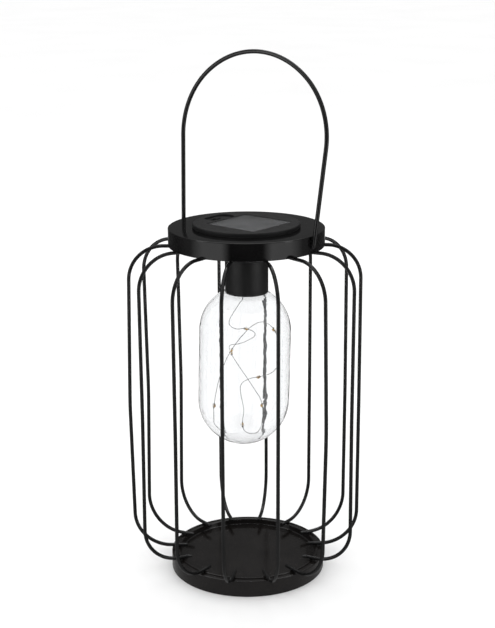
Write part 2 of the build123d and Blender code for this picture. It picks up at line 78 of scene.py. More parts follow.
# degrees off even spacing, and mm of bow and stand-off: mostly the output of a fitting script,
# not chosen by hand
WIRE_TURN = [-1.5, 1, -1, 0.5, 0.5, 0.5, -0.5, -0.5, -2.5, -4, -0.5, -0.5, 0, -2]
WIRE_BOW = [-0.5, 0.2, 0.5, 0.2, -0.5, 0.2, -2.5, -2, 2, -0.5, -0.5, 0.5, 0.2, 3]
WIRE_STAND = [0, -0.5, 0, -0.5, -1, -0.5, 0, 1.5, 1.5, -1, -0.5, 0, 0.5, 2]
WIRE_ANGLES = [(k + 0.5) * 2 * pi / WIRE_COUNT + radians(turn) for k, turn in enumerate(WIRE_TURN)]
HANDLE_WIRE = 1.55
PIVOT_HEIGHT = 255.5
HANDLE_FOOT, HANDLE_BEND, PIN_END = 58.3, 1.75, 50.5
ARCH_WIDTH, ARCH_HEIGHT = 63.15, 131.2
SIDE_ARC, CROWN_ARC = 57.0, 66.5
HANDLE_LEAN = 5.9
MODULE_TURN = radians(-3.0)
HOUSING_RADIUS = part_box("solar_housing")[1].x / MM
HOUSING_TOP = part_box("solar_housing")[1].z / MM
FLANGE_LOW = CAP_TOP + 0.5
PLATE_LOW = 262.6
SPIGOT_RADIUS, SPIGOT_WALL, SPIGOT_LOW = 36.5, 1.8, 251.4
PANEL_SIDE, PANEL_SHIFT = 43.0, 2.8
PANEL_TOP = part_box("panel_cover")[1].z / MM
PANEL_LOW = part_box("panel_cover")[0].z / MM
POCKET_FLOOR = 264.2
RECESS_SIZE, RECESS_PLACE, RECESS_FLOOR = (13.6, 24.0), (-26.9, 1.5), 264.7
WINDOW_SIZE, WINDOW_PLACE = (3.6, 9.4), (-29.0, -0.6)
KNOB_SIZE, KNOB_PLACE = (3.0, 4.8), (-29.0, 1.4)
KNOB_LOW, KNOB_TOP = (corner.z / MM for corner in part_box("switch_knob"))
BOSS_CIRCLE, BOSS_ANGLES = 29.6, (radians(-90), 0, radians(90))
COLLAR_RADIUS = 17.0
COLLAR_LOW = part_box("module_base")[0].z / MM
BASE_PLATE_LOW, BASE_PLATE_TOP = 250.0, 251.4
SLEEVE_RADIUS, SLEEVE_WALL = 15.75, 1.5
SLEEVE_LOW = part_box("socket_sleeve")[0].z / MM
BULB_RADIUS, GLASS = 33.7, 0.9
BULB_LOW, BULB_HIGH, SHOULDER = 132.9, 185.5, 214.2
NECK_RADIUS, NECK_TOP = 12.4, 240.0
BULB_LEAN, BULB_PIVOT = radians(1.3), 243.0
LEAN_AXIS = Vector((-0.6, 0.8, 0))
STRING_RADIUS = 0.28
BEAD_RADIUS, BEAD_LENGTH = 1.35, 3.6
BEAD_FIRST, BEAD_SPACING, BEAD_COUNT = 54.0, 48.0, 8
STRING_ROUTE = [
    (-0.3, -0.2, 228), (-0.4, -0.3, 214), (-3, -8, 204), (-6, -16, 194), (1, -16, 190), (7, -11, 191),
    (9, -3, 187), (5, 4, 181), (-3, 5, 176), (-9, 1, 173), (-13, -7, 174), (-4, -11, 166),
    (8, -11, 154), (15, -11, 146), (18, -6, 137), (15, 0, 120), (10, 2, 108), (3, 3, 104),
    (-5, 3, 104), (-10, 6, 109), (-10, 10, 118), (-13, 10, 129), (-14, 9, 138), (-8, 11, 144),
    (3, 13, 147), (14, 16, 152), (20, 15, 165), (16, 18, 177), (10, 18, 186), (7, 12, 191),
    (5, 2, 191), (4, -9, 186), (-1, -21, 173), (-8, -23, 154), (-14, -21, 136),
    (-17, -20, 119), (-15, -18, 111), (-10, -12, 107),
]


# ---------------------------------------------------------------- mesh helpers
def link(mesh, name, smooth_angle=32):
    """A new object for a mesh given in millimetres, smooth except at edges sharper than this."""
    mesh.transform(Matrix.Scale(MM, 4))
    bm = bmesh.new()
    bm.from_mesh(mesh)
    bmesh.ops.remove_doubles(bm, verts=bm.verts, dist=1e-7)
    bmesh.ops.recalc_face_normals(bm, faces=bm.faces)
    for edge in bm.edges:
        if len(edge.link_faces) == 2:
            edge.smooth = edge.calc_face_angle(0) < radians(smooth_angle)
    for face in bm.faces:
        face.smooth = True
    bm.to_mesh(mesh)
    bm.free()
    obj = bpy.data.objects.new(name, mesh)
    bpy.context.scene.collection.objects.link(obj)
    return obj


def mesh_of(vertices, faces):
    mesh = bpy.data.meshes.new("mesh")
    mesh.from_pydata([tuple(v) for v in vertices], [], faces)
    mesh.update()
    return mesh


def fair(points, radii, step=6.0):
    """The points with each inner corner rounded to its radius, an arc point every step degrees."""
    points = [Vector(p) for p in points]
    route = [points[0]]
    for a, b, c, radius in zip(points, points[1:], points[2:], radii):
        u, w = (a - b).normalized(), (c - b).normalized()
        turn = pi - u.angle(w)
        if radius <= 0 or turn < 1e-4:
            route.append(b)
            continue
        trim = radius * tan(turn / 2)
        centre = b + (u + w).normalized() * (radius / cos(turn / 2))
        first = b + u * trim - centre
        last = b + w * trim - centre
        count = max(2, ceil(degrees(turn) / step))
        for k in range(count + 1):
            share = k / count
            blend = (first * sin((1 - share) * turn) + last * sin(share * turn)) / sin(turn)
            route.append(centre + blend)
    route.append(points[-1])
    return route


def closed_profile(corners, rounds, step=18.0):
    """A closed outline of (radius, height) corners, each rounded by its own radius."""
    flat = [Vector((x, 0, z)) for x, z in corners]
    ring = [(flat[-1] + flat[0]) / 2, *flat, (flat[-1] + flat[0]) / 2]
    return [(p.x, p.z) for p in fair(ring, rounds, step)[:-1]]


def lathe(profile, closed=True, around=AROUND):
    """The mesh of an outline of (radius, height) points turned about Z."""
    rows, vertices, faces = [], [], []
    for radius, height in profile:
        if radius < 1e-6:
            rows.append([len(vertices)] * around)
            vertices.append((0, 0, height))
            continue
        rows.append(list(range(len(vertices), len(vertices) + around)))
        for k in range(around):
            a = 2 * pi * k / around
            vertices.append((radius * cos(a), radius * sin(a), height))
    pairs = list(zip(rows, rows[1:]))
    if closed:
        pairs.append((rows[-1], rows[0]))
    for low, high in pairs:
        for k in range(around):
            n = (k + 1) % around
            corners = [low[k], low[n], high[n], high[k]]
            face = [v for i, v in enumerate(corners) if v != corners[i - 1]]
            if len(face) > 2:
                faces.append(face)
    return mesh_of(vertices, faces)


def tube(path, radius, sides=14, end_round=0.35):
    """A round bar along the path, its ends turned over by a small radius."""
    path = [Vector(p) for p in path]
    tangents = [(b - a).normalized() for a, b in zip(path, path[1:])]
    directions = [tangents[0]]
    directions += [(a + b).normalized() for a, b in zip(tangents, tangents[1:])]
    directions.append(tangents[-1])
    side = directions[0].orthogonal().normalized()
    rings = []
    for point, before, direction in zip(path, [directions[0], *directions], directions):
        side = before.rotation_difference(direction) @ side
        rings.append((point, direction, side.copy(), radius))
    start, stop = rings[0], rings[-1]
    head = [
        (start[0], start[1], start[2], radius - end_round),
        (start[0] + start[1] * end_round * 0.3, start[1], start[2], radius - end_round * 0.3),
        (start[0] + start[1] * end_round, start[1], start[2], radius),
    ]
    tail = [
        (stop[0] - stop[1] * end_round, stop[1], stop[2], radius),
        (stop[0] - stop[1] * end_round * 0.3, stop[1], stop[2], radius - end_round * 0.3),
        (stop[0], stop[1], stop[2], radius - end_round),
    ]
    rings = head + rings[1:-1] + tail
    vertices, faces = [], []
    for point, direction, across, size in rings:
        other = direction.cross(across)
        for k in range(sides):
            a = 2 * pi * k / sides
            vertices.append(point + (across * cos(a) + other * sin(a)) * size)
    for row in range(len(rings) - 1):
        for k in range(sides):
            n = (k + 1) % sides
            faces.append([
                row * sides + k, row * sides + n, (row + 1) * sides + n, (row + 1) * sides + k,
            ])
    faces.append(list(range(sides))[::-1])
    faces.append([len(vertices) - sides + k for k in range(sides)])
    return mesh_of(vertices, faces)


def along(path, longest):
    """The same path with its straight runs divided, so that no step is longer than this."""
    route = [Vector(path[0])]
    for a, b in zip(path, path[1:]):
        a, b = Vector(a), Vector(b)
        count = max(1, ceil((b - a).length / longest))
        route += [a.lerp(b, k / count) for k in range(1, count + 1)]
    return route


def rounded_rectangle(width, depth, radius, steps=6):
    points = []
    for quarter, (sx, sy) in enumerate(((1, 1), (-1, 1), (-1, -1), (1, -1))):
        for k in range(steps + 1):
            a = (quarter + k / steps) * pi / 2
            points.append((
                sx * (width / 2 - radius) + radius * cos(a),
                sy * (depth / 2 - radius) + radius * sin(a),
            ))
    return points


def slab(size, corner, levels):
    """A rounded rectangle's prism; levels are (height, how far the outline stands in)."""
    vertices, faces = [], []
    count = 0
    for height, inset in levels:
        outline = rounded_rectangle(size[0] - 2 * inset, size[1] - 2 * inset, max(corner - inset, 0.05))
        count = len(outline)
        vertices += [(x, y, height) for x, y in outline]
    for row in range(len(levels) - 1):
        for k in range(count):
            n = (k + 1) % count
            faces.append([
                row * count + k, row * count + n, (row + 1) * count + n, (row + 1) * count + k,
            ])
    faces.append(list(range(count))[::-1])
    faces.append([len(vertices) - count + k for k in range(count)])
    return mesh_of(vertices, faces)


def placed(mesh, x, y, turn=MODULE_TURN):
    """The mesh moved to this place of the solar module, which is turned about the axis."""
    mesh.transform(Matrix.Rotation(turn, 4, "Z") @ Matrix.Translation((x, y, 0)))
    return mesh


def joined(meshes):
    bm = bmesh.new()
    for mesh in meshes:
        bm.from_mesh(mesh)
    mesh = bpy.data.meshes.new("mesh")
    bm.to_mesh(mesh)
    bm.free()
    return mesh


def cut(mesh, cutters):
    """The mesh less the cutters, by an applied Boolean modifier."""
    tools = []
    body = bpy.data.objects.new("cut_body", mesh)
    bpy.context.scene.collection.objects.link(body)
    for cutter in cutters:
        tool = bpy.data.objects.new("cut_tool", cutter)
        bpy.context.scene.collection.objects.link(tool)
        tools.append(tool)
        modifier = body.modifiers.new("cut", "BOOLEAN")
        modifier.operation = "DIFFERENCE"
        modifier.solver = "EXACT"
        modifier.object = tool
    depsgraph = bpy.context.evaluated_depsgraph_get()
    result = bpy.data.meshes.new_from_object(body.evaluated_get(depsgraph))
    for obj in (body, *tools):
        bpy.data.objects.remove(obj)
    return result


def show(obj, material, body, slot, *nodes):
    """Gives a piece its material and its body, and hides the CAD nodes it stands for; slot is not used."""
    obj.data.materials.clear()
    obj.data.materials.append(material)
    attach(obj, body)
    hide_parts(*nodes)
    return obj


# ---------------------------------------------------------------- material helpers
class Graph:
    """A material's node tree with its shader and a texture space in metres."""

    def __init__(self, name, **values):
        self.material = bpy.data.materials.new(name)
        self.material.use_nodes = True
        self.tree = self.material.node_tree
        self.shader = self.tree.nodes["Principled BSDF"]
        for key, value in values.items():
            self.shader.inputs[key.replace("_", " ")].default_value = value
        self.place = self.add("ShaderNodeTexCoord").outputs["Object"]

    def add(self, kind, **settings):
        node = self.tree.nodes.new(kind)
        for key, value in settings.items():
            setattr(node, key, value)
        return node

    def wire(self, source, target):
        self.tree.links.new(source, target)

    def stretched(self, scale):
        mapping = self.add("ShaderNodeMapping")
        mapping.inputs["Scale"].default_value = scale
        self.wire(self.place, mapping.inputs["Vector"])
        return mapping.outputs["Vector"]

    def noise(self, scale, detail=3.0, roughness=0.5, vector=None):
        node = self.add("ShaderNodeTexNoise")
        node.inputs["Scale"].default_value = scale
        node.inputs["Detail"].default_value = detail
        node.inputs["Roughness"].default_value = roughness
        self.wire(vector or self.place, node.inputs["Vector"])
        return node.outputs["Fac"]

    def spots(self, scale, size, vector=None):
        """1 inside small round spots of a Voronoi pattern, 0 between them."""
        cells = self.add("ShaderNodeTexVoronoi")
        cells.inputs["Scale"].default_value = scale
        self.wire(vector or self.place, cells.inputs["Vector"])
        return self.remap(cells.outputs["Distance"], size, size * 0.5, 0.0, 1.0)

    def remap(self, value, low, high, to_low, to_high):
        node = self.add("ShaderNodeMapRange")
        for key, number in zip(("From Min", "From Max", "To Min", "To Max"), (low, high, to_low, to_high)):
            node.inputs[key].default_value = number
        self.wire(value, node.inputs["Value"])
        return node.outputs["Result"]

    def math(self, operation, a, b):
        node = self.add("ShaderNodeMath", operation=operation)
        for socket, value in zip(node.inputs, (a, b)):
            if isinstance(value, (int, float)):
                socket.default_value = value
            else:
                self.wire(value, socket)
        return node.outputs["Value"]

    def colours(self, value, *stops):
        ramp = self.add("ShaderNodeValToRGB")
        elements = ramp.color_ramp.elements
        while len(elements) < len(stops):
            elements.new(0.5)
        for element, (position, colour) in zip(elements, stops):
            element.position = position
            element.color = (*colour, 1)
        self.wire(value, ramp.inputs["Fac"])
        return ramp.outputs["Color"]

    def bump(self, *layers):
        """Layers of (height, distance in metres), summed one on another."""
        normal = None
        for height, distance in layers:
            node = self.add("ShaderNodeBump")
            node.inputs["Distance"].default_value = distance
            self.wire(height, node.inputs["Height"])
            if normal is not None:
                self.wire(normal, node.inputs["Normal"])
            normal = node.outputs["Normal"]
        self.wire(normal, self.shader.inputs["Normal"])

    def set(self, key, value):
        self.wire(value, self.shader.inputs[key])


def lacquer(name, tone, low_rough, high_rough, peel=2.0e-5):
    """Black stoved paint: slight colour drift, cloudy gloss, orange peel and a few dust nibs."""
    g = Graph(name, IOR=1.5, Coat_Weight=0.0)
    cloud = g.noise(55, 4, 0.55)
    dust = g.spots(900, 0.16)
    dark, light = (tuple(c * k for c in tone) for k in (0.75, 1.3))
    g.set("Base Color", g.colours(cloud, (0.3, dark), (0.7, light)))
    rough = g.remap(cloud, 0.3, 0.7, low_rough, high_rough)
    g.set("Roughness", g.math("ADD", rough, g.math("MULTIPLY", dust, 0.06)))
    g.bump((g.noise(420, 2, 0.5), peel), (dust, 4.0e-6))
    return g.material


def moulded(name, tone, rough, grain=8.0e-5, grain_scale=2600):
    """Moulded plastic: spark-eroded grain, slight flow clouds and rubbed places."""
    g = Graph(name, IOR=1.38)
    flow = g.noise(70, 3, 0.5, g.stretched((1, 1, 0.35)))
    spark = g.noise(grain_scale, 2, 0.65)
    rubbed = g.noise(160, 4, 0.6)
    dark, light = (tuple(c * k for c in tone) for k in (0.8, 1.25))
    g.set("Base Color", g.colours(flow, (0.3, dark), (0.75, light)))
    g.set("Roughness", g.remap(rubbed, 0.35, 0.7, rough - 0.06, rough + 0.08))
    g.bump((spark, grain))
    return g.material


def metal(name, tone, rough):
    """Plated steel: brushed streaks and a faint uneven plating colour."""
    g = Graph(name, Metallic=1.0)
    streak = g.noise(900, 3, 0.6, g.stretched((1, 1, 8)))
    tarnish = g.noise(300, 3, 0.5)
    dull = tuple(c * 0.72 for c in tone)
    g.set("Base Color", g.colours(tarnish, (0.35, dull), (0.65, tone)))
    g.set("Roughness", g.remap(streak, 0.3, 0.7, rough - 0.08, rough + 0.1))
    g.bump((streak, 6.0e-6))
    return g.material


def clear(name, colour, ior, waviness, scale, rough=0.0):
    """Clear glass or resin whose surface is very slightly uneven."""
    g = Graph(name, IOR=ior, Transmission_Weight=1.0)
    tone_noise = g.noise(scale * 2.2, 3, 0.5)
    tint = tuple(c * 0.985 for c in colour)
    g.set("Base Color", g.colours(tone_noise, (0.35, tint), (0.65, colour)))
    g.set("Roughness", g.remap(tone_noise, 0.4, 0.8, rough, rough + 0.015))
    g.bump((g.noise(scale, 2, 0.5), waviness))
    return g.material


def cell_material(side, count):
    """Polycrystalline cells: bluish grains, thin fingers and a bus bar down each cell."""
    g = Graph("solar_cell_silicon", IOR=1.7)
    grain = g.add("ShaderNodeTexVoronoi")
    grain.inputs["Scale"].default_value = 260
    g.wire(g.stretched((1, 0.45, 1)), grain.inputs["Vector"])
    shade = g.colours(
        grain.outputs["Color"], (0.2, (0.006, 0.007, 0.013)), (0.55, (0.011, 0.013, 0.026)),
        (0.9, (0.018, 0.022, 0.042)),
    )
    turned = g.add("ShaderNodeMapping")
    turned.inputs["Rotation"].default_value = (0, 0, -MODULE_TURN)
    g.wire(g.place, turned.inputs["Vector"])
    split = g.add("ShaderNodeSeparateXYZ")
    g.wire(turned.outputs["Vector"], split.inputs["Vector"])
    pitch = side / count
    left = PANEL_SHIFT * MM - side / 2
    in_cell = g.math("FRACT", g.math("DIVIDE", g.math("SUBTRACT", split.outputs["X"], left), pitch), 0)
    bus = g.math("LESS_THAN", g.math("ABSOLUTE", g.math("SUBTRACT", in_cell, 0.5), 0), 0.055)
    finger = g.math("LESS_THAN", g.math("FRACT", g.math("DIVIDE", split.outputs["Y"], 0.0016), 0), 0.1)
    silver = g.math("MAXIMUM", bus, finger)
    mix = g.add("ShaderNodeMix", data_type="RGBA")
    mix.inputs["B"].default_value = (0.16, 0.165, 0.17, 1)
    for source, socket in ((silver, mix.inputs["Factor"]), (shade, mix.inputs["A"])):
        g.wire(source, socket)
    g.set("Base Color", next(s for s in mix.outputs if s.type == "RGBA"))
    g.set("Roughness", g.remap(silver, 0, 1, 0.3, 0.45))
    g.bump((silver, 1.5e-5))
    return g.material


CAP_PAINT = lacquer("cap_lacquer", (0.0035, 0.0034, 0.0035), 0.06, 0.1, 5.0e-6)
TRAY_PAINT = lacquer("tray_lacquer", (0.0064, 0.0055, 0.0052), 0.13, 0.18, 4.0e-6)
WIRE_PAINT = lacquer("wire_lacquer", (0.0045, 0.0045, 0.0046), 0.14, 0.2)
BLACK_PLASTIC = moulded("housing_plastic", (0.0055, 0.0056, 0.0058), 0.54)
SLEEVE_PLASTIC = moulded("socket_plastic", (0.009, 0.009, 0.0091), 0.38, 3.0e-5, 1500)
KNOB_PLASTIC = moulded("knob_plastic", (0.018, 0.018, 0.0185), 0.45, 2.0e-5, 1500)
FOAM = moulded("gasket_foam", (0.012, 0.012, 0.012), 0.85, 2.0e-4, 2200)
RUBBER = moulded("stopper_rubber", (0.02, 0.02, 0.02), 0.65, 3.0e-5, 1400)
PLATED = metal("nickel_plate", (0.62, 0.61, 0.58), 0.34)
BRIGHT_WIRE = metal("silvered_copper", (0.24, 0.235, 0.23), 0.32)
BULB_CLEAR = clear("bulb_glass", (0.955, 0.96, 0.965), 1.49, 1.1e-4, 110)
BEAD_CLEAR = clear("bead_resin", (0.97, 0.95, 0.9), 1.45, 3.0e-5, 900)
CELLS = cell_material(0.040, 4)


# ---------------------------------------------------------------- cap and base tray
def make_cap():
    inner = CAP_RADIUS - SHEET
    outline = closed_profile(
        [(CAP_HOLE, CAP_TOP), (CAP_RADIUS, CAP_TOP), (CAP_RADIUS, CAP_LOW), (inner, CAP_LOW),
         (inner, CAP_TOP - SHEET), (CAP_HOLE, CAP_TOP - SHEET)],
        [0.25, 0.55, 0.32, 0.32, 0.5, 0.25], 11.0,
    )
    bore = tube([(-CAP_RADIUS - 3, 0, PIVOT_HEIGHT), (CAP_RADIUS + 3, 0, PIVOT_HEIGHT)],
                HANDLE_WIRE + 0.06, 40, 0.01)
    cap = link(cut(lathe(outline), [bore]), "cap_pan")
    show(cap, CAP_PAINT, "lantern_frame", "painted_steel", "top_cap")


def make_tray():
    wall = FLOOR_RADIUS + SHEET
    inner = BASE_RADIUS - SHEET
    ring = closed_profile(
        [(BASE_RADIUS - HEM_WIDTH, 0), (BASE_RADIUS, 0), (BASE_RADIUS, RIM_TOP), (wall + 0.02, RIM_TOP),
         (wall + 0.02, RIM_TOP - SHEET), (inner, RIM_TOP - SHEET), (inner, SHEET),
         (BASE_RADIUS - HEM_WIDTH, SHEET)],
        [0.3, 0.6, 0.7, 0.15, 0.15, 0.4, 0.4, 0.3], 15.0,
    )
    show(link(lathe(ring), "tray_ring"), TRAY_PAINT, "lantern_frame", "painted_steel", "base_ring")
    lip = FLOOR_RADIUS + LIP_WIDTH
    floor = [(0, FLOOR_TOP - SHEET), (wall - 0.5, FLOOR_TOP - SHEET), (wall, FLOOR_TOP - SHEET + 0.5)]
    floor += [(wall, RIM_TOP + 0.02), (lip - 0.15, RIM_TOP + 0.02)]
    crown = fair([(lip, 0, RIM_TOP + 0.1), (lip, 0, LIP_TOP), (FLOOR_RADIUS, 0, LIP_TOP),
                  (FLOOR_RADIUS, 0, FLOOR_TOP), (FLOOR_RADIUS - 4, 0, FLOOR_TOP)], [0.6, 1.0, 0.9], 15.0)
    floor += [(p.x, p.z) for p in crown]
    floor += [(r, FLOOR_TOP) for r in (40, 30, 20, 10, 0)]
    show(link(lathe(floor, False), "tray_floor"), TRAY_PAINT, "lantern_frame", "painted_steel",
         "base_floor")


# ---------------------------------------------------------------- cage
def cage_path(angle, bow, stand):
    """One bent wire's centre line, in the upright plane at this angle."""
    outer = CAGE_RADIUS + stand
    outline = fair(
        [(UPPER_END, 0, UPPER_RUN), (outer, 0, UPPER_RUN), (outer + bow, 0, BOW_HEIGHT),
         (outer, 0, LOWER_RUN), (LOWER_END, 0, LOWER_RUN)],
        [UPPER_BEND, BOW_BEND, LOWER_BEND], 3.0,
    )
    turn = Matrix.Rotation(angle, 3, "Z")
    return [turn @ p for p in along(outline, 9.0)]


def make_cage():
    for number, bends in enumerate(zip(WIRE_ANGLES, WIRE_BOW, WIRE_STAND), start=1):
        wire = link(tube(cage_path(*bends), WIRE_RADIUS, 18), f"wire_{number:02d}")
        show(wire, WIRE_PAINT, "lantern_frame", "painted_steel", f"cage_wire_{number:02d}")


def weld_blobs(radius, height, length, thickness, draw):
    """Small uneven weld beads, one across each wire."""
    blobs = []
    for angle in WIRE_ANGLES:
        bm = bmesh.new()
        bmesh.ops.create_icosphere(bm, subdivisions=3, radius=1.0)
        shift = Vector((draw.random(), draw.random(), draw.random())) * 9
        for vertex in bm.verts:
            swell = 1 + 0.16 * noise.noise(vertex.co * 1.4 + shift)
            vertex.co = Vector((
                vertex.co.x * thickness, vertex.co.y * length / 2, vertex.co.z * thickness,
            )) * min(swell, 1.0)
        bm.transform(Matrix.Rotation(angle, 4, "Z") @ Matrix.Translation((radius, 0, height)))
        mesh = bpy.data.meshes.new("mesh")
        bm.to_mesh(mesh)
        bm.free()
        blobs.append(mesh)
    return joined(blobs)


def make_welds():
    draw = random.Random(14)
    upper = weld_blobs(CAP_RADIUS - SHEET - 0.71, CAP_LOW + 0.66, 3.0, 0.78, draw)
    show(link(upper, "cap_weld_beads", 60), WIRE_PAINT, "lantern_frame", "painted_steel", "cap_welds")
    lower = weld_blobs(FLOOR_RADIUS + LIP_WIDTH + 1.4, RIM_TOP + 0.41, 2.6, 0.46, draw)
    show(link(lower, "tray_weld_beads", 60), WIRE_PAINT, "lantern_frame", "painted_steel", "base_welds")


# ---------------------------------------------------------------- handle
def handle_path():
    """Pin, foot bend, leg, side arc, crown arc and back again, walked along in its own plane."""
    side_x = ARCH_WIDTH - SIDE_ARC
    gap = CROWN_ARC - SIDE_ARC
    side_y = ARCH_HEIGHT - CROWN_ARC + sqrt(gap**2 - side_x**2)
    reach = hypot(HANDLE_FOOT - side_x, side_y)
    splay = atan2(side_y, HANDLE_FOOT - side_x) - acos(SIDE_ARC / reach)
    crown_half = atan2(side_x, sqrt(gap**2 - side_x**2))
    side_turn = pi / 2 + splay - crown_half
    trim = HANDLE_BEND * tan((pi / 2 - splay) / 2)
    leg = sqrt(reach**2 - SIDE_ARC**2) - trim
    pin = HANDLE_FOOT - trim - PIN_END
    moves = [("run", pin), ("turn", HANDLE_BEND, pi / 2 - splay), ("run", leg),
             ("turn", SIDE_ARC, side_turn), ("turn", CROWN_ARC, 2 * crown_half),
             ("turn", SIDE_ARC, side_turn), ("run", leg),
             ("turn", HANDLE_BEND, pi / 2 - splay), ("run", pin)]
    x, y, heading = PIN_END, 0.0, 0.0
    flat = [(x, y)]
    for kind, size, *turn in moves:
        if kind == "run":
            count = max(1, ceil(size / 12))
            for _ in range(count):
                x, y = x + cos(heading) * size / count, y + sin(heading) * size / count
                flat.append((x, y))
            continue
        count = ceil(degrees(turn[0]) / (15 if size < 5 else 2.5))
        centre = (x - sin(heading) * size, y + cos(heading) * size)
        for k in range(1, count + 1):
            a = heading + turn[0] * k / count
            flat.append((centre[0] + sin(a) * size, centre[1] - cos(a) * size))
        heading += turn[0]
        x, y = flat[-1]
    lean = radians(HANDLE_LEAN)
    return [Vector((x, y * sin(lean), PIVOT_HEIGHT + y * cos(lean))) for x, y in flat]


def make_handle():
    bail = link(tube(handle_path(), HANDLE_WIRE, 20), "bail_handle")
    show(bail, WIRE_PAINT, "bail", "painted_steel", "handle")


# ---------------------------------------------------------------- solar puck
def make_housing():
    outer, inner = SPIGOT_RADIUS, SPIGOT_RADIUS - SPIGOT_WALL
    outline = fair(
        [(0, 0, HOUSING_TOP), (HOUSING_RADIUS, 0, HOUSING_TOP), (HOUSING_RADIUS, 0, FLANGE_LOW),
         (outer, 0, FLANGE_LOW), (outer, 0, SPIGOT_LOW), (inner, 0, SPIGOT_LOW), (inner, 0, PLATE_LOW),
         (0, 0, PLATE_LOW)],
        [1.1, 0.35, 0.3, 0.3, 0.3, 0.5], 12.0,
    )
    body = lathe([(p.x, p.z) for p in outline], False)
    flare = 0.3
    pocket = slab((PANEL_SIDE + 0.5, PANEL_SIDE + 0.5), 0.8,
                  [(POCKET_FLOOR, 0), (HOUSING_TOP - flare, 0), (HOUSING_TOP + 0.2, -flare - 0.2)])
    recess = slab(RECESS_SIZE, 5.5, [(RECESS_FLOOR, 0.35), (RECESS_FLOOR + 0.35, 0),
                                     (HOUSING_TOP - flare, 0), (HOUSING_TOP + 0.2, -flare - 0.2)])
    window = slab(WINDOW_SIZE, 0.8, [(PLATE_LOW - 1, 0), (HOUSING_TOP, 0)])
    body = cut(body, [placed(pocket, PANEL_SHIFT, 0), placed(recess, *RECESS_PLACE),
                      placed(window, *WINDOW_PLACE)])
    bosses = []
    for angle in BOSS_ANGLES:
        boss = lathe(closed_profile([(1.2, SPIGOT_LOW), (3.0, SPIGOT_LOW), (3.0, PLATE_LOW - 0.02),
                                     (1.2, PLATE_LOW - 0.02)], [0.2, 0.3, 0.1, 0.1]), True, 32)
        bosses.append(placed(boss, BOSS_CIRCLE * cos(angle), BOSS_CIRCLE * sin(angle)))
    puck = link(joined([body, *bosses]), "puck_housing")
    show(puck, BLACK_PLASTIC, "solar_module", "black_plastic", "solar_housing")
    ring = closed_profile([(CAP_HOLE + 0.1, CAP_TOP), (HOUSING_RADIUS - 0.25, CAP_TOP),
                           (HOUSING_RADIUS - 0.25, FLANGE_LOW), (CAP_HOLE + 0.1, FLANGE_LOW)],
                          [0.05, 0.12, 0.12, 0.05])
    show(link(lathe(ring), "foam_ring"), FOAM, "solar_module", "black_foam", "gasket")


def panel_resin():
    """Clear potting resin over the cells, with a painted sheen: its grey tone stands in for reflected
    light.
    """
    g = Graph("panel_resin", IOR=1.5, Transmission_Weight=0.8)
    tone_noise = g.noise(90, 4, 0.6)
    scuff = g.noise(700, 3, 0.6, g.stretched((1, 0.25, 1)))
    # painted sheen: the grey base colour stands in for the grey reflection on the resin, a little uneven
    g.set("Base Color", g.colours(tone_noise, (0.3, (0.25, 0.255, 0.262)), (0.7, (0.31, 0.312, 0.32))))
    g.set("Roughness", g.remap(scuff, 0.35, 0.7, 0.16, 0.24))
    g.bump((g.noise(260, 2, 0.5), 1.5e-5))
    return g.material


def make_panel():
    edge = 0.3
    cover = slab((PANEL_SIDE, PANEL_SIDE), 0.6,
                 [(PANEL_LOW + 0.22, 0), (PANEL_TOP - edge, 0), (PANEL_TOP - 0.08, 0.1),
                  (PANEL_TOP, edge)])
    show(link(placed(cover, PANEL_SHIFT, 0), "panel_face"), panel_resin(), "solar_module",
         "clear_resin", "panel_cover")
    pitch = 40.0 / 4
    cells = []
    for k in range(4):
        cell = slab((pitch - 0.6, PANEL_SIDE - 3.6), 0.1, [(PANEL_LOW, 0), (PANEL_LOW + 0.2, 0.02)])
        cells.append(placed(cell, PANEL_SHIFT + (k - 1.5) * pitch, 0))
    show(link(joined(cells), "cell_strips"), CELLS, "solar_module", "solar_cell", "solar_cells")


def make_knob():
    block = slab(KNOB_SIZE, 0.5, [(KNOB_LOW, 0), (KNOB_TOP - 0.45, 0), (KNOB_TOP - 0.3, 0.15)])
    parts = [placed(block, *KNOB_PLACE)]
    for k in range(4):
        rib = slab((KNOB_SIZE[0] - 0.5, 0.62), 0.2, [(KNOB_TOP - 0.4, 0), (KNOB_TOP - 0.1, 0.04),
                                                    (KNOB_TOP, 0.16)])
        parts.append(placed(rib, KNOB_PLACE[0], KNOB_PLACE[1] + (k - 1.5) * 1.12))
    show(link(joined(parts), "slide_knob"), KNOB_PLASTIC, "switch_slider", "switch_plastic",
         "switch_knob")


